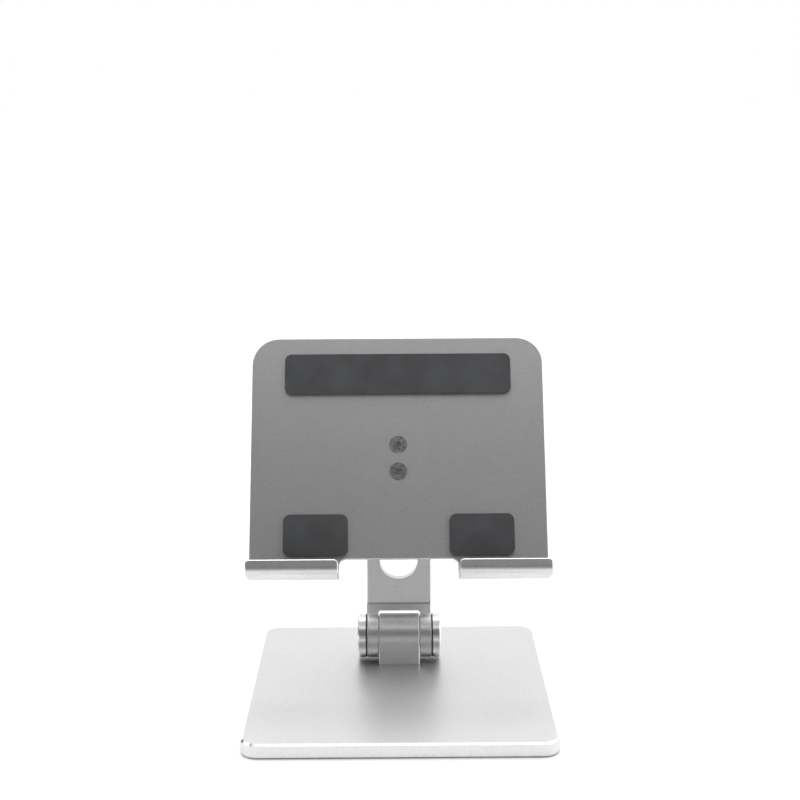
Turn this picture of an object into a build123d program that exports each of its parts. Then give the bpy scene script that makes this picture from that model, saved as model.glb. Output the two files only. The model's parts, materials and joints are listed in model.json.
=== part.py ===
from build123d import *
import os
from math import cos, radians, sin

# Folding desk stand for a tablet: a weighted square foot, one arm between two friction hinges,
# and a tray with two hooks. Millimetres. +Z is up, -Y is the side that the user sits on, and the
# origin is the middle of the face that rests on the desk.

# ---- foot ----
BASE_WIDTH = 127.0
BASE_DEPTH = 126.0
BASE_THICKNESS = 6.0
BASE_CORNER_RADIUS = 7.0
BASE_TOP_CHAMFER = 0.9
BASE_BOTTOM_CHAMFER = 0.4
FOOT_PAD_MARGIN = 6.0           # from the edge of the plate to the edge of the rubber sheet
FOOT_PAD_THICKNESS = 1.5
FOOT_PAD_PROUD = 0.5            # how far the sheet stands out of its pocket
FOOT_PAD_CORNER_RADIUS = 4.0
SCREW_ACCESS_RADIUS = 5.0       # holes in the sheet over the screw heads

# ---- friction hinges, the same at both ends of the arm ----
AXIS_HEIGHT = 10.45             # hinge axis above the face that its block is screwed to
BLOCK_WIDTH = 18.0
BLOCK_RADIUS = 9.9
BLOCK_CHAMFER = 0.4
BLOCK_FOOT_CHAMFER = 0.25       # around the face that is screwed down
BUSH_OUTER_RADIUS = 5.0
SPINDLE_RADIUS = 4.0
RUNNING_CLEARANCE = 0.05        # radial, between spindle and bush
EAR_GAP = 0.4                   # between the block and each ear
FRICTION_WASHER_RADIUS = 8.6
WASHER_SIDE_CLEARANCE = 0.025
EAR_RADIUS = 9.75
ARM_WIDTH = 29.1
COUNTERBORE_RADIUS = 7.0
COUNTERBORE_DEPTH = 1.8
HEX_ACROSS_FLATS = 11.0
HEAD_THICKNESS = 3.0
SPINDLE_KEY_ACROSS_FLATS = 4.0
SPINDLE_KEY_DEPTH = 2.0
DISC_SPRING_RADIUS = 6.3
DISC_SPRING_THICKNESS = 0.5
DISC_SPRING_COUNT = 2
THREAD_PROTRUSION = 0.4

# ---- caps over the spindle ends ----
CAP_RADIUS = 9.8
CAP_THICKNESS = 3.5
CAP_WALL = 1.0
CAP_CHAMFER = 0.6
CAP_SPIGOT_DEPTH = 1.0
CAP_SPIGOT_INNER_RADIUS = 6.45
CAP_DISH_RADIUS = 6.6
CAP_DISH_DEPTH = 0.4
CAP_KEY_HOLE_RADIUS = 3.0
SEAL_THICKNESS = 0.45
SEAL_RADIUS = 9.5

# ---- arm ----
ARM_LENGTH = 77.67              # axis to axis
ARM_LEAN = 7.7                  # degrees back from upright
ARM_THICKNESS = 7.5             # its rear face is flush with the knuckles
ARM_EDGE_CHAMFER = 0.5
WINDOW_REACH = 11.1             # from an axis to the edge of the window around its block
WINDOW_CORNER_RADIUS = 1.2
RAMP_START = 13.9               # from an axis to the crease where the front face turns forward
RAMP_END_ANGLE = 6.0            # degrees in front of the knuckle's top
CREASE_RADIUS = 2.0
RAMP_FOOT_RADIUS = 1.0
CABLE_HOLE_RADIUS = 8.5
CABLE_HOLE_HEIGHT = 33.6        # above the lower axis, along the arm
CABLE_HOLE_CHAMFER = 0.25
LOWER_AXIS_FROM_FRONT = 88.3    # from the front edge of the foot

# ---- tray ----
TRAY_LEAN = 26.4                # degrees back from upright
TRAY_WIDTH = 129.2
TRAY_THICKNESS = 2.5
TRAY_ABOVE_AXIS = 54.8
TRAY_BELOW_AXIS = 53.4
TRAY_CORNER_RADIUS = 12.0
TRAY_EDGE_CHAMFER = 0.35
HOOK_WIDTH = 39.0
HOOK_CHANNEL_DEPTH = 14.2       # metal to metal, from the tray to the lip
HOOK_HEIGHT = 6.8
HOOK_BEND_RADIUS = 3.9          # outside of the bends
LIP_CORNER_RADIUS = 1.8
NOTCH_HEIGHT = 9.0              # cut up between the hooks, from the underside
NOTCH_CORNER_RADIUS = 3.0
HOOK_PAD_THICKNESS = 0.7
HOOK_PAD_END_GAP = 1.0
HOOK_PAD_BELOW_LIP = 0.9
TRAY_PAD_THICKNESS = 1.4
TRAY_PAD_CORNER_RADIUS = 3.0
TOP_PAD_SIZE = (100.0, 18.0)
TOP_PAD_HEIGHT = 38.0           # centre above the upper axis
SIDE_PAD_SIZE = (28.0, 18.0)
SIDE_PAD_HEIGHT = -34.0
SIDE_PAD_OFFSET = 36.0          # centre from the middle of the tray

# ---- countersunk screws that hold the hinge blocks ----
SCREW_RADIUS = 2.0
SCREW_HEAD_RADIUS = 4.0
SCREW_HEAD_DEPTH = 2.0
SCREW_KEY_ACROSS_FLATS = 2.5
SCREW_KEY_DEPTH = 1.3
SCREW_OFFSET = 6.0              # each side of the hinge axis
SCREW_GRIP = 5.5                # thread engaged in the block
SCREW_HOLE_DEPTH = 6.0

# ---- places worked out from the sizes above ----
BASE_UNDERSIDE = FOOT_PAD_PROUD
BASE_TOP = BASE_UNDERSIDE + BASE_THICKNESS
POCKET_DEPTH = FOOT_PAD_THICKNESS - FOOT_PAD_PROUD
POCKET_FLOOR = BASE_UNDERSIDE + POCKET_DEPTH
EAR_INNER = BLOCK_WIDTH / 2 + EAR_GAP
ARM_FRONT = EAR_RADIUS - ARM_THICKNESS
EAR_OUTER = ARM_WIDTH / 2
COUNTERBORE_FLOOR = EAR_OUTER - COUNTERBORE_DEPTH
SPRING_TOP = COUNTERBORE_FLOOR + DISC_SPRING_COUNT * DISC_SPRING_THICKNESS
NUT_TOP = SPRING_TOP + HEAD_THICKNESS
CAP_INNER = EAR_OUTER + SEAL_THICKNESS
CAP_OUTER = CAP_INNER + CAP_THICKNESS
TRAY_REAR = -AXIS_HEIGHT
TRAY_FRONT = TRAY_REAR - TRAY_THICKNESS
LIP_INNER = TRAY_FRONT - HOOK_CHANNEL_DEPTH
LIP_OUTER = LIP_INNER - TRAY_THICKNESS
HOOK_UNDERSIDE = -TRAY_BELOW_AXIS
HOOK_FLOOR = HOOK_UNDERSIDE + TRAY_THICKNESS
LIP_TOP = HOOK_UNDERSIDE + HOOK_HEIGHT
HOOK_INNER_END = TRAY_WIDTH / 2 - HOOK_WIDTH

LOWER_AXIS = Pos(0, LOWER_AXIS_FROM_FRONT - BASE_DEPTH / 2, BASE_TOP + AXIS_HEIGHT)
ARM_PLACE = LOWER_AXIS * Rot(X=-ARM_LEAN)
UPPER_END = ARM_PLACE * Pos(0, 0, ARM_LENGTH)
TRAY_PLACE = UPPER_END * Rot(X=ARM_LEAN - TRAY_LEAN)
FACING_TRAY = TRAY_PLACE * Rot(X=-90)      # turns a part's up direction towards the tray's back


def x_cylinder(radius, start, end):
    """A cylinder along X between two places."""
    return Pos((start + end) / 2, 0, 0) * Rot(Y=90) * Cylinder(radius, abs(end - start))


def x_tube(outer, inner, start, end):
    """A ring along X between two places."""
    return x_cylinder(outer, start, end) - x_cylinder(inner, start, end)


def x_hexagon(across_flats, start, end):
    """A hexagonal prism along X between two places."""
    outline = RegularPolygon(across_flats / 2, 6, major_radius=False)
    return Pos(min(start, end), 0, 0) * Rot(Y=90) * extrude(outline, abs(end - start))


def rounded_slab(width, depth, thickness, radius):
    """A flat plate with round corners that stands on Z = 0."""
    return extrude(RectangleRounded(width, depth, radius), thickness)


def on_face(shape, axis, position):
    """The edges of a shape's flat face that is square to an axis at a place along it."""
    spots = {Axis.X: "X", Axis.Y: "Y", Axis.Z: "Z"}
    faces = [face for face in shape.faces().filter_by(axis)
             if abs(getattr(face.center(), spots[axis]) - position) < 0.01]
    return ShapeList([edge for face in faces for edge in face.edges()])


# ---- foot ----

def base_screw_places():
    """Where the foot's screws start, at the floor of the pocket."""
    y = LOWER_AXIS.position.Y
    return [Pos(0, y + side * SCREW_OFFSET, POCKET_FLOOR) for side in (-1, 1)]


def make_base_plate():
    plate = Pos(0, 0, BASE_UNDERSIDE) * rounded_slab(
        BASE_WIDTH, BASE_DEPTH, BASE_THICKNESS, BASE_CORNER_RADIUS)
    plate = chamfer(on_face(plate, Axis.Z, BASE_TOP), BASE_TOP_CHAMFER)
    plate = chamfer(on_face(plate, Axis.Z, BASE_UNDERSIDE), BASE_BOTTOM_CHAMFER)
    pocket = rounded_slab(BASE_WIDTH - 2 * FOOT_PAD_MARGIN, BASE_DEPTH - 2 * FOOT_PAD_MARGIN,
                          POCKET_DEPTH, FOOT_PAD_CORNER_RADIUS)
    plate -= Pos(0, 0, BASE_UNDERSIDE) * pocket
    for place in base_screw_places():
        plate -= place * make_screw(BASE_TOP - POCKET_FLOOR, with_key=False)
    return plate


def make_foot_pad():
    pad = rounded_slab(BASE_WIDTH - 2 * FOOT_PAD_MARGIN, BASE_DEPTH - 2 * FOOT_PAD_MARGIN,
                       FOOT_PAD_THICKNESS, FOOT_PAD_CORNER_RADIUS)
    downward = (Align.CENTER, Align.CENTER, Align.MAX)
    for place in base_screw_places():
        pad -= place * Cylinder(SCREW_ACCESS_RADIUS, FOOT_PAD_THICKNESS, align=downward)
    return pad


def make_screw(length, with_key=True):
    """A countersunk screw with its flat head at Z = 0 and its shank upward."""
    upward = (Align.CENTER, Align.CENTER, Align.MIN)
    screw = Cylinder(SCREW_RADIUS, length, align=upward)
    screw += Cone(SCREW_HEAD_RADIUS, SCREW_RADIUS, SCREW_HEAD_DEPTH, align=upward)
    if with_key:
        key = RegularPolygon(SCREW_KEY_ACROSS_FLATS / 2, 6, major_radius=False)
        screw -= extrude(key, SCREW_KEY_DEPTH)
    return screw


# ---- hinge pieces, about an axis along X through the origin ----

def make_hinge_block():
    """The fixed knuckle, which stands on its flat face below the axis."""
    block = x_cylinder(BLOCK_RADIUS, -BLOCK_WIDTH / 2, BLOCK_WIDTH / 2)
    block += Pos(0, 0, -AXIS_HEIGHT / 2) * Box(BLOCK_WIDTH, 2 * BLOCK_RADIUS, AXIS_HEIGHT)
    for side in (-1, 1):
        edges = on_face(block, Axis.X, side * BLOCK_WIDTH / 2)
        rim = edges.filter_by(lambda edge: edge.center().Z > 0.01 - AXIS_HEIGHT)
        block = chamfer(rim, BLOCK_CHAMFER)
    block = chamfer(on_face(block, Axis.Z, -AXIS_HEIGHT), BLOCK_FOOT_CHAMFER)
    block -= x_cylinder(BUSH_OUTER_RADIUS, -BLOCK_WIDTH / 2, BLOCK_WIDTH / 2)
    for side in (-1, 1):
        hole = Cylinder(SCREW_RADIUS, SCREW_HOLE_DEPTH, align=(Align.CENTER, Align.CENTER, Align.MIN))
        block -= Pos(0, side * SCREW_OFFSET, -AXIS_HEIGHT) * hole
    return block


def make_bush():
    return x_tube(BUSH_OUTER_RADIUS, SPINDLE_RADIUS + RUNNING_CLEARANCE,
                  -BLOCK_WIDTH / 2, BLOCK_WIDTH / 2)


def make_spindle():
    """A bolt with a hexagon head on the left, a key socket in the head and a thread on the right."""
    head_face = -COUNTERBORE_FLOOR - HEAD_THICKNESS
    spindle = x_cylinder(SPINDLE_RADIUS, -COUNTERBORE_FLOOR, NUT_TOP + THREAD_PROTRUSION)
    spindle += x_hexagon(HEX_ACROSS_FLATS, -COUNTERBORE_FLOOR, head_face)
    spindle -= x_hexagon(SPINDLE_KEY_ACROSS_FLATS, head_face, head_face + SPINDLE_KEY_DEPTH)
    return spindle


def make_nut():
    nut = x_hexagon(HEX_ACROSS_FLATS, SPRING_TOP, NUT_TOP)
    return nut - x_cylinder(SPINDLE_RADIUS, SPRING_TOP, NUT_TOP)


def make_disc_springs():
    starts = [COUNTERBORE_FLOOR + index * DISC_SPRING_THICKNESS for index in range(DISC_SPRING_COUNT)]
    return Compound(children=[x_tube(DISC_SPRING_RADIUS, SPINDLE_RADIUS, start, start + DISC_SPRING_THICKNESS)
                              for start in starts])


def make_pair(maker):
    """One solid for each side of the hinge, in a single group."""
    return Compound(children=[maker(-1), maker(1)])


def make_friction_washer(side):
    start = side * (BLOCK_WIDTH / 2 + WASHER_SIDE_CLEARANCE)
    end = side * (EAR_INNER - WASHER_SIDE_CLEARANCE)
    return x_tube(FRICTION_WASHER_RADIUS, SPINDLE_RADIUS, start, end)


def make_seal(side):
    return x_tube(SEAL_RADIUS, COUNTERBORE_RADIUS, side * EAR_OUTER, side * CAP_INNER)


def make_cap(side, with_key_hole):
    """A turned cap with a spigot that presses into the ear's counterbore."""
    inner = side * CAP_INNER
    outer = side * CAP_OUTER
    cap = chamfer(on_face(x_cylinder(CAP_RADIUS, inner, outer), Axis.X, outer), CAP_CHAMFER)
    cap += x_cylinder(COUNTERBORE_RADIUS, inner, side * (CAP_INNER - CAP_SPIGOT_DEPTH))
    cap -= x_cylinder(CAP_SPIGOT_INNER_RADIUS, side * (CAP_INNER - CAP_SPIGOT_DEPTH),
                      side * (CAP_OUTER - CAP_WALL))
    cap -= x_cylinder(CAP_DISH_RADIUS, side * (CAP_OUTER - CAP_DISH_DEPTH), outer)
    if with_key_hole:
        cap -= x_cylinder(CAP_KEY_HOLE_RADIUS, side * (CAP_OUTER - CAP_WALL), outer)
    return cap


# ---- arm, standing on the lower axis ----

def arm_profile():
    """Side view: a flat web flush with the backs of two round knuckles, ramped forward to their tops."""
    shape = Pos(ARM_FRONT, 0) * Rectangle(ARM_THICKNESS, ARM_LENGTH, align=(Align.MIN, Align.MIN))
    end_angle = radians(RAMP_END_ANGLE)
    for axis, way in ((0, 1), (ARM_LENGTH, -1)):
        crease = Vector(ARM_FRONT, axis + way * RAMP_START)
        ramp_foot = Vector(-EAR_RADIUS * sin(end_angle), axis + way * EAR_RADIUS * cos(end_angle))
        shape += Pos(0, axis) * Circle(EAR_RADIUS)
        shape += make_face(Polyline(
            crease, ramp_foot, (0, axis), (EAR_RADIUS, axis), (EAR_RADIUS, crease.Y), close=True))
        for corner, radius in ((crease, CREASE_RADIUS), (ramp_foot, RAMP_FOOT_RADIUS)):
            shape = fillet(shape.vertices().sort_by_distance(corner)[0], radius)
    return Plane.YZ * shape


def make_arm():
    arm = extrude(arm_profile(), ARM_WIDTH / 2, both=True)
    for side in (-1, 1):
        arm = chamfer(on_face(arm, Axis.X, side * ARM_WIDTH / 2), ARM_EDGE_CHAMFER)
    for axis in (0, ARM_LENGTH):
        window = Box(2 * EAR_INNER, 4 * EAR_RADIUS, 2 * WINDOW_REACH)
        window = fillet(window.edges().filter_by(Axis.Y), WINDOW_CORNER_RADIUS)
        arm -= Pos(0, 0, axis) * window
        arm -= Pos(0, 0, axis) * x_cylinder(SPINDLE_RADIUS, -EAR_OUTER, EAR_OUTER)
        for side in (-1, 1):
            arm -= Pos(0, 0, axis) * x_cylinder(
                COUNTERBORE_RADIUS, side * COUNTERBORE_FLOOR, side * EAR_OUTER)
    hole = Rot(X=90) * Cylinder(CABLE_HOLE_RADIUS, 4 * ARM_THICKNESS)
    arm -= Pos(0, 0, CABLE_HOLE_HEIGHT) * hole
    rims = arm.edges().filter_by(lambda edge: edge.geom_type == GeomType.CIRCLE
                                 and abs(edge.radius - CABLE_HOLE_RADIUS) < 0.01)
    return chamfer(rims, CABLE_HOLE_CHAMFER)


# ---- tray, upright behind its own front face, with the upper axis at the origin ----

def channel_profile(rear, front, floor, rear_top, front_top, thickness, radius):
    """Side view of a sheet that runs down, forward and up again, with round bends."""
    outside = FilletPolyline((rear, rear_top), (rear, floor), (front, floor), (front, front_top),
                             radius=radius)
    inside = FilletPolyline((front + thickness, front_top), (front + thickness, floor + thickness),
                            (rear - thickness, floor + thickness), (rear - thickness, rear_top),
                            radius=radius - thickness)
    ends = [Line(outside @ 1, inside @ 0), Line(inside @ 1, outside @ 0)]
    return Plane.YZ * make_face([outside, inside] + ends)


def make_tray_plate():
    profile = channel_profile(TRAY_REAR, LIP_OUTER, HOOK_UNDERSIDE, TRAY_ABOVE_AXIS, LIP_TOP,
                              TRAY_THICKNESS, HOOK_BEND_RADIUS)
    tray = extrude(profile, TRAY_WIDTH / 2, both=True)
    corners = tray.edges().filter_by(Axis.Y).filter_by(
        lambda edge: abs(edge.center().Z - TRAY_ABOVE_AXIS) < 0.01)
    tray = fillet(corners, TRAY_CORNER_RADIUS)
    notch = Pos(0, 0, HOOK_UNDERSIDE) * Box(
        2 * HOOK_INNER_END, 3 * abs(LIP_OUTER), 2 * NOTCH_HEIGHT)
    notch = fillet(notch.edges().filter_by(Axis.Y), NOTCH_CORNER_RADIUS)
    tray -= notch
    lip_corners = tray.edges().filter_by(Axis.Y).filter_by(
        lambda edge: edge.center().Y < LIP_INNER and abs(edge.center().Z - LIP_TOP) < 0.01)
    tray = fillet(lip_corners, LIP_CORNER_RADIUS)
    tray = chamfer(tray_outline_edges(tray), TRAY_EDGE_CHAMFER)
    for side in (-1, 1):
        place = Pos(0, TRAY_FRONT, side * SCREW_OFFSET) * Rot(X=-90)
        tray -= place * make_screw(TRAY_THICKNESS, with_key=False)
    return tray


def tray_outline_edges(tray):
    """The sheet's sharp outline: not its bend lines, and not the edges across its thickness."""
    bend_lines = (HOOK_UNDERSIDE, HOOK_FLOOR, HOOK_UNDERSIDE + HOOK_BEND_RADIUS)
    bends = [edge for edge in tray.edges().filter_by(Axis.X)
             if any(abs(edge.center().Z - line) < 0.01 for line in bend_lines)]
    across = [edge for edge in tray.edges().filter_by(Axis.Y)
              if abs(edge.length - TRAY_THICKNESS) < 0.01]
    return tray.edges().filter_by(lambda edge: edge not in bends + across)


def make_hook_pad(side):
    """A soft liner for one hook: up the tray, across the floor and up the lip."""
    profile = channel_profile(TRAY_FRONT, LIP_INNER, HOOK_FLOOR, LIP_TOP, LIP_TOP - HOOK_PAD_BELOW_LIP,
                              HOOK_PAD_THICKNESS, HOOK_BEND_RADIUS - TRAY_THICKNESS)
    width = HOOK_WIDTH - 2 * HOOK_PAD_END_GAP
    middle = side * (HOOK_INNER_END + HOOK_WIDTH / 2)
    return Pos(middle, 0, 0) * extrude(profile, width / 2, both=True)


def make_tray_pad(size, x, z):
    """A soft strip glued to the front of the tray."""
    strip = rounded_slab(size[0], size[1], TRAY_PAD_THICKNESS, TRAY_PAD_CORNER_RADIUS)
    return Pos(x, TRAY_FRONT, z) * Rot(X=90) * strip


def make_tray_screws():
    length = TRAY_THICKNESS + SCREW_GRIP
    places = [Pos(0, TRAY_FRONT, side * SCREW_OFFSET) * Rot(X=-90) for side in (-1, 1)]
    return Compound(children=[place * make_screw(length) for place in places])


def make_base_screws():
    length = BASE_TOP - POCKET_FLOOR + SCREW_GRIP
    return Compound(children=[place * make_screw(length) for place in base_screw_places()])


# ---- the whole stand ----

def hinge_nodes(end, place, block_place):
    """The named pieces of one friction hinge."""
    return {
        end + "_hinge_block": block_place * make_hinge_block(),
        end + "_bush": block_place * make_bush(),
        end + "_spindle": place * make_spindle(),
        end + "_lock_nut": place * make_nut(),
        end + "_disc_springs": place * make_disc_springs(),
        end + "_friction_washers": place * make_pair(make_friction_washer),
        end + "_seal_rings": place * make_pair(make_seal),
        end + "_cap_left": place * make_cap(-1, with_key_hole=True),
        end + "_cap_right": place * make_cap(1, with_key_hole=False),
    }


def main():
    nodes = {
        "base_plate": make_base_plate(),
        "foot_pad": make_foot_pad(),
        "base_screws": make_base_screws(),
        "arm": ARM_PLACE * make_arm(),
        "tray_plate": TRAY_PLACE * make_tray_plate(),
        "tray_screws": TRAY_PLACE * make_tray_screws(),
        "hook_pad_left": TRAY_PLACE * make_hook_pad(-1),
        "hook_pad_right": TRAY_PLACE * make_hook_pad(1),
        "tray_pad_top": TRAY_PLACE * make_tray_pad(TOP_PAD_SIZE, 0, TOP_PAD_HEIGHT),
        "tray_pad_left": TRAY_PLACE * make_tray_pad(SIDE_PAD_SIZE, -SIDE_PAD_OFFSET, SIDE_PAD_HEIGHT),
        "tray_pad_right": TRAY_PLACE * make_tray_pad(SIDE_PAD_SIZE, SIDE_PAD_OFFSET, SIDE_PAD_HEIGHT),
    }
    nodes.update(hinge_nodes("lower", ARM_PLACE, LOWER_AXIS))
    nodes.update(hinge_nodes("upper", UPPER_END, FACING_TRAY))
    os.makedirs("parts", exist_ok=True)
    for name, shape in nodes.items():
        export_step(shape, "parts/" + name + ".step")
    for name, place in (("lower axis", LOWER_AXIS), ("upper axis", UPPER_END)):
        print(name, place.position)


main()
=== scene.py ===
import json
import math

import bpy
from mathutils import Matrix, Vector


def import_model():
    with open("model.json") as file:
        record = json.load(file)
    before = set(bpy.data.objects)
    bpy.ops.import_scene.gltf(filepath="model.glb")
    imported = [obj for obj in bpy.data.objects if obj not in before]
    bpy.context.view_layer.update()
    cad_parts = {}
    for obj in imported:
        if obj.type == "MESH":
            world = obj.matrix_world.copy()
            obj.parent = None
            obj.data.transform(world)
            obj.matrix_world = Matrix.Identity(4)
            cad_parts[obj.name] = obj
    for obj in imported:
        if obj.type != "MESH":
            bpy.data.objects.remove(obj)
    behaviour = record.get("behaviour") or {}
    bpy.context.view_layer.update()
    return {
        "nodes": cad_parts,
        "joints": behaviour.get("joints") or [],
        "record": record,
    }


# Looks of a folding tablet stand in bead-blasted aluminium, on a white sweep under soft light.
# Metres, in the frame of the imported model: +Z up, -Y towards the user.

# ---- camera ----
CAMERA_PLACE = (-0.00045, -0.5854, 0.2586)
CAMERA_PITCH = 12.305           # degrees below level
CAMERA_ROLL = -0.334
CAMERA_YAW = -0.129
LENS = 64.66                    # millimetres
SENSOR = 36.0                   # millimetres

# ---- light ----
WORLD_LEVEL = 1.0
OVERHEAD_LEVEL = 1.75
OVERHEAD_SPREAD = 56.0          # degrees across
OVERHEAD_BACK = 9.0             # degrees behind the zenith
CARD_DISTANCE = 2.0             # radius of the sphere that the cards are patches of
CARDS = (                       # name, azimuths, elevations, level
    ("dark_front", (-72, 52), (0, 54), 0.10),
    ("dark_left", (-135, -72), (0, 24), 0.08),
    ("bright_left", (-112, -72), (24, 60), 1.6),
    ("bright_right", (52, 108), (8, 55), 2.0),
)
CARD_STEPS = 12
LOW_CARD_WIDTH = 1.0
LOW_CARD_DISTANCE = 0.21
LOW_CARD_HEIGHT = 0.09
LOW_CARD_LEVEL = 0.36
FLOOR_SIZE = 40.0

# ---- finishes ----
SATIN_COLOUR = (0.75, 0.75, 0.755)
SATIN_ROUGHNESS = 0.40
SATIN_GRAIN = 2900.0            # scales of noise, per metre
SATIN_SPECKLE = 1500.0
SATIN_CLOUD = 45.0
BRIGHT_EDGE = (0.00563, 0.00648)    # lowest and highest level of the foot's bright chamfer
GLEAM_COLOUR = (0.97, 0.97, 0.97, 1)
GLEAM_ROUGHNESS = (0.2, 0.2, 0.2, 1)
TURNED_COLOUR = (0.9, 0.9, 0.905)
TURNED_ROUGHNESS = 0.3
TURNED_RINGS = 700.0
TURNED_CLOUD = 300.0


def new_material(name):
    """A node material with a Principled shader and object coordinates."""
    material = bpy.data.materials.new(name)
    material.use_nodes = True
    nodes = material.node_tree.nodes
    shader = nodes["Principled BSDF"]
    coords = nodes.new("ShaderNodeTexCoord")
    return material, nodes, material.node_tree.links, shader, coords.outputs["Object"]


def noise(nodes, links, coords, scale, detail=3.0, roughness=0.5):
    """A noise texture's value, from 0 to 1."""
    texture = nodes.new("ShaderNodeTexNoise")
    texture.inputs["Scale"].default_value = scale
    texture.inputs["Detail"].default_value = detail
    texture.inputs["Roughness"].default_value = roughness
    links.new(coords, texture.inputs["Vector"])
    return texture.outputs["Fac"]


def ranged(nodes, links, value, low, high, start=0.3, end=0.7):
    """A texture's value spread over a range."""
    spread = nodes.new("ShaderNodeMapRange")
    spread.inputs["From Min"].default_value = start
    spread.inputs["From Max"].default_value = end
    spread.inputs["To Min"].default_value = low
    spread.inputs["To Max"].default_value = high
    links.new(value, spread.inputs["Value"])
    return spread.outputs["Result"]


def tinted(nodes, links, value, dark, light):
    """A colour between two, by a texture's value."""
    ramp = nodes.new("ShaderNodeValToRGB")
    ramp.color_ramp.elements[0].position = 0.3
    ramp.color_ramp.elements[0].color = (*dark, 1)
    ramp.color_ramp.elements[1].position = 0.7
    ramp.color_ramp.elements[1].color = (*light, 1)
    links.new(value, ramp.inputs["Fac"])
    return ramp.outputs["Color"]


def bumped(nodes, links, height, shader, strength, distance):
    """Gives the shader a bump from a texture's value."""
    bump = nodes.new("ShaderNodeBump")
    bump.inputs["Strength"].default_value = strength
    bump.inputs["Distance"].default_value = distance
    links.new(height, bump.inputs["Height"])
    links.new(bump.outputs["Normal"], shader.inputs["Normal"])
    return bump


def shade(colour, factor):
    return tuple(channel * factor for channel in colour)


def satin_aluminium(name, bright_edge=None):
    """Fine bead-blasted, clear anodised aluminium.

    bright_edge is the lowest and highest level of a chamfer that was cut bright after the blasting."""
    material, nodes, links, shader, coords = new_material(name)
    shader.inputs["Metallic"].default_value = 1.0
    grain = noise(nodes, links, coords, SATIN_GRAIN, 2.0, 0.5)
    speckle = noise(nodes, links, coords, SATIN_SPECKLE, 2.0, 0.5)
    cloud = noise(nodes, links, coords, SATIN_CLOUD, 3.0, 0.5)
    colour = tinted(nodes, links, cloud, shade(SATIN_COLOUR, 0.98), SATIN_COLOUR)
    fleck = nodes.new("ShaderNodeMixRGB")
    fleck.blend_type = "MULTIPLY"
    fleck.inputs["Fac"].default_value = 1.0
    links.new(colour, fleck.inputs["Color1"])
    links.new(tinted(nodes, links, speckle, (0.88, 0.88, 0.88), (1, 1, 1)), fleck.inputs["Color2"])
    links.new(fleck.outputs["Color"], shader.inputs["Base Color"])
    roughness = ranged(nodes, links, grain, SATIN_ROUGHNESS - 0.06, SATIN_ROUGHNESS + 0.06)
    bump = bumped(nodes, links, grain, shader, 0.3, 0.00004)
    if bright_edge:
        axes = nodes.new("ShaderNodeSeparateXYZ")
        links.new(coords, axes.inputs["Vector"])
        edge = nodes.new("ShaderNodeMath")
        edge.operation = "COMPARE"
        edge.inputs[1].default_value = sum(bright_edge) / 2
        edge.inputs[2].default_value = (bright_edge[1] - bright_edge[0]) / 2
        links.new(axes.outputs["Z"], edge.inputs[0])
        polish = nodes.new("ShaderNodeMixRGB")
        polish.inputs["Color2"].default_value = GLEAM_ROUGHNESS
        links.new(edge.outputs["Value"], polish.inputs["Fac"])
        links.new(roughness, polish.inputs["Color1"])
        roughness = polish.outputs["Color"]
        gleam = nodes.new("ShaderNodeMixRGB")
        gleam.inputs["Color2"].default_value = GLEAM_COLOUR
        links.new(edge.outputs["Value"], gleam.inputs["Fac"])
        links.new(fleck.outputs["Color"], gleam.inputs["Color1"])
        links.new(gleam.outputs["Color"], shader.inputs["Base Color"])
        relief = ranged(nodes, links, edge.outputs["Value"], 0.35, 0.0, 0.0, 1.0)
        links.new(relief, bump.inputs["Strength"])
    links.new(roughness, shader.inputs["Roughness"])
    return material


def turned_aluminium(name, centre):
    """Bright turned aluminium, with fine rings about a hinge axis along X."""
    material, nodes, links, shader, coords = new_material(name)
    shader.inputs["Metallic"].default_value = 1.0
    shift = nodes.new("ShaderNodeVectorMath")
    shift.operation = "SUBTRACT"
    shift.inputs[1].default_value = centre
    links.new(coords, shift.inputs[0])
    rings = nodes.new("ShaderNodeTexWave")
    rings.wave_type = "RINGS"
    rings.rings_direction = "X"
    rings.inputs["Scale"].default_value = TURNED_RINGS
    rings.inputs["Distortion"].default_value = 0.4
    rings.inputs["Detail"].default_value = 2.0
    links.new(shift.outputs["Vector"], rings.inputs["Vector"])
    cloud = noise(nodes, links, coords, TURNED_CLOUD)
    colour = tinted(nodes, links, cloud, shade(TURNED_COLOUR, 0.96), TURNED_COLOUR)
    links.new(colour, shader.inputs["Base Color"])
    roughness = ranged(nodes, links, cloud, TURNED_ROUGHNESS, TURNED_ROUGHNESS + 0.06)
    links.new(roughness, shader.inputs["Roughness"])
    lathe = nodes.new("ShaderNodeTangent")
    lathe.direction_type = "RADIAL"
    lathe.axis = "X"
    links.new(lathe.outputs["Tangent"], shader.inputs["Tangent"])
    shader.inputs["Anisotropic"].default_value = 0.8
    shader.inputs["Anisotropic Rotation"].default_value = 0.25
    bumped(nodes, links, rings.outputs["Fac"], shader, 0.12, 0.00003)
    return material


def soft_rubber(name, colour, grain_scale, roughness):
    """Matt rubber or silicone with a fine moulded grain."""
    material, nodes, links, shader, coords = new_material(name)
    shader.inputs["Specular IOR Level"].default_value = 0.35
    grain = noise(nodes, links, coords, grain_scale, 4.0, 0.6)
    cloud = noise(nodes, links, coords, 90.0)
    links.new(tinted(nodes, links, cloud, colour, shade(colour, 1.35)), shader.inputs["Base Color"])
    links.new(ranged(nodes, links, grain, roughness, roughness + 0.15), shader.inputs["Roughness"])
    bumped(nodes, links, grain, shader, 0.35, 0.00008)
    return material


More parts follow.
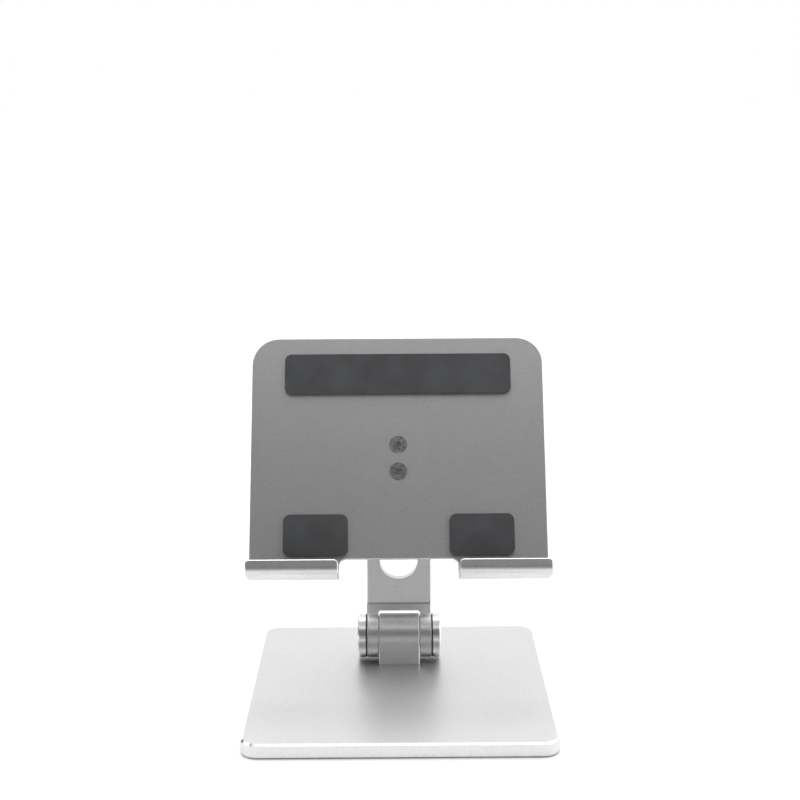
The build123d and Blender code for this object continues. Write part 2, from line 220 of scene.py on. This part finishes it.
def plated_metal(name, colour, roughness, grain_scale):
    """Zinc plate or sintered bronze: a fine mottled metal."""
    material, nodes, links, shader, coords = new_material(name)
    shader.inputs["Metallic"].default_value = 1.0
    grain = noise(nodes, links, coords, grain_scale, 4.0, 0.6)
    links.new(tinted(nodes, links, grain, shade(colour, 0.85), colour), shader.inputs["Base Color"])
    links.new(ranged(nodes, links, grain, roughness, roughness + 0.12), shader.inputs["Roughness"])
    bumped(nodes, links, grain, shader, 0.15, 0.00004)
    return material


def natural_nylon():
    material, nodes, links, shader, coords = new_material("washer_nylon")
    cloud = noise(nodes, links, coords, 400.0)
    colour = tinted(nodes, links, cloud, (0.72, 0.71, 0.67), (0.80, 0.79, 0.75))
    links.new(colour, shader.inputs["Base Color"])
    links.new(ranged(nodes, links, cloud, 0.38, 0.5), shader.inputs["Roughness"])
    bumped(nodes, links, cloud, shader, 0.1, 0.00003)
    return material


def finish_nodes(frame):
    """Gives every CAD node the finish of its material slot."""
    finishes = {
        "satin_aluminium": satin_aluminium("satin_aluminium"),
        "black_rubber": soft_rubber("black_rubber", (0.018, 0.018, 0.019), 1800.0, 0.6),
        "soft_silicone": soft_rubber("soft_silicone", (0.035, 0.036, 0.038), 2600.0, 0.5),
        "screw_steel": plated_metal("screw_steel", (0.62, 0.62, 0.64), 0.24, 700.0),
        "bush_bronze": plated_metal("bush_bronze", (0.62, 0.45, 0.26), 0.35, 2400.0),
        "washer_nylon": natural_nylon(),
    }
    centres = {joint["name"].split("_")[0]: joint["pos_m"] for joint in frame["joints"]}
    caps = {end: turned_aluminium("turned_aluminium_" + end, centre) for end, centre in centres.items()}
    for part in frame["record"]["subparts"]:
        name, slot = part["node"], part["material_slot"]
        material = caps[name.split("_")[0]] if slot == "turned_aluminium" else finishes[slot]
        if name == "base_plate":
            material = satin_aluminium("satin_aluminium_bright_edge", BRIGHT_EDGE)
        mesh_object = frame["nodes"][name]
        for index in range(len(mesh_object.material_slots)):
            mesh_object.material_slots[index].material = material


def make_floor():
    """A plain white sweep."""
    bpy.ops.mesh.primitive_plane_add(size=FLOOR_SIZE, location=(0, 0, 0))
    floor = bpy.context.object
    floor.name = "floor"
    material, nodes, links, shader, coords = new_material("white_paper")
    tooth = noise(nodes, links, coords, 600.0)
    colour = tinted(nodes, links, tooth, (0.85, 0.85, 0.85), (0.87, 0.87, 0.87))
    links.new(colour, shader.inputs["Base Color"])
    shader.inputs["Roughness"].default_value = 0.9
    shader.inputs["Specular IOR Level"].default_value = 0.1
    floor.data.materials.append(material)


def glow_material(name, level):
    material = bpy.data.materials.new(name)
    material.use_nodes = True
    nodes = material.node_tree.nodes
    nodes.clear()
    glow = nodes.new("ShaderNodeEmission")
    glow.inputs["Color"].default_value = (level, level, level, 1)
    output = nodes.new("ShaderNodeOutputMaterial")
    material.node_tree.links.new(glow.outputs["Emission"], output.inputs["Surface"])
    return material


def stage_card(name, corners, faces, level):
    """A glowing sheet that only the gloss of surfaces reflects, and the camera doesn't see."""
    mesh = bpy.data.meshes.new(name)
    mesh.from_pydata(corners, [], faces)
    mesh.materials.append(glow_material(name, level))
    card = bpy.data.objects.new(name, mesh)
    bpy.context.scene.collection.objects.link(card)
    card.visible_camera = False
    card.visible_shadow = False
    card.visible_diffuse = False


def make_low_card():
    """A low grey sheet that stands upright on the floor in front of the stand."""
    half, near, top = LOW_CARD_WIDTH / 2, -LOW_CARD_DISTANCE, LOW_CARD_HEIGHT
    corners = [(-half, near, 0), (half, near, 0), (half, near, top), (-half, near, top)]
    stage_card("low_front", corners, [(0, 1, 2, 3)], LOW_CARD_LEVEL)


def make_card(name, azimuths, elevations, level):
    """A glowing patch of a big sphere around the stand.

    Azimuth 0 is straight in front of the stand, and 90 is to its right."""
    corners = []
    for i in range(CARD_STEPS + 1):
        for j in range(CARD_STEPS + 1):
            azimuth = math.radians(azimuths[0] + (azimuths[1] - azimuths[0]) * i / CARD_STEPS)
            elevation = math.radians(elevations[0] + (elevations[1] - elevations[0]) * j / CARD_STEPS)
            corners.append((CARD_DISTANCE * math.sin(azimuth) * math.cos(elevation),
                            -CARD_DISTANCE * math.cos(azimuth) * math.cos(elevation),
                            CARD_DISTANCE * math.sin(elevation)))
    row = CARD_STEPS + 1
    faces = [(i * row + j, i * row + j + 1, (i + 1) * row + j + 1, (i + 1) * row + j)
             for i in range(CARD_STEPS) for j in range(CARD_STEPS)]
    stage_card(name, corners, faces, level)


def make_light():
    scene = bpy.context.scene
    scene.view_settings.view_transform = "Standard"
    world = bpy.data.worlds.new("studio")
    world.use_nodes = True
    world.node_tree.nodes["Background"].inputs["Color"].default_value = (1, 1, 1, 1)
    world.node_tree.nodes["Background"].inputs["Strength"].default_value = WORLD_LEVEL
    scene.world = world
    sky = bpy.data.lights.new("overhead", "SUN")
    sky.angle = math.radians(OVERHEAD_SPREAD)
    sky.energy = OVERHEAD_LEVEL
    lamp = bpy.data.objects.new("overhead", sky)
    lamp.rotation_euler = (-math.radians(OVERHEAD_BACK), 0, 0)
    scene.collection.objects.link(lamp)
    make_low_card()
    for name, azimuths, elevations, level in CARDS:
        make_card(name, azimuths, elevations, level)


def make_camera():
    camera = bpy.data.cameras.new("camera")
    camera.lens = LENS
    camera.sensor_width = SENSOR
    camera.clip_start = 0.01
    holder = bpy.data.objects.new("camera", camera)
    turn = (Matrix.Rotation(math.radians(CAMERA_YAW), 4, "Z")
            @ Matrix.Rotation(math.radians(90 - CAMERA_PITCH), 4, "X")
            @ Matrix.Rotation(math.radians(CAMERA_ROLL), 4, "Z"))
    holder.matrix_world = Matrix.Translation(CAMERA_PLACE) @ turn
    bpy.context.scene.collection.objects.link(holder)
    bpy.context.scene.camera = holder


def main():
    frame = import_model()
    finish_nodes(frame)
    make_floor()
    make_light()
    make_camera()


main()
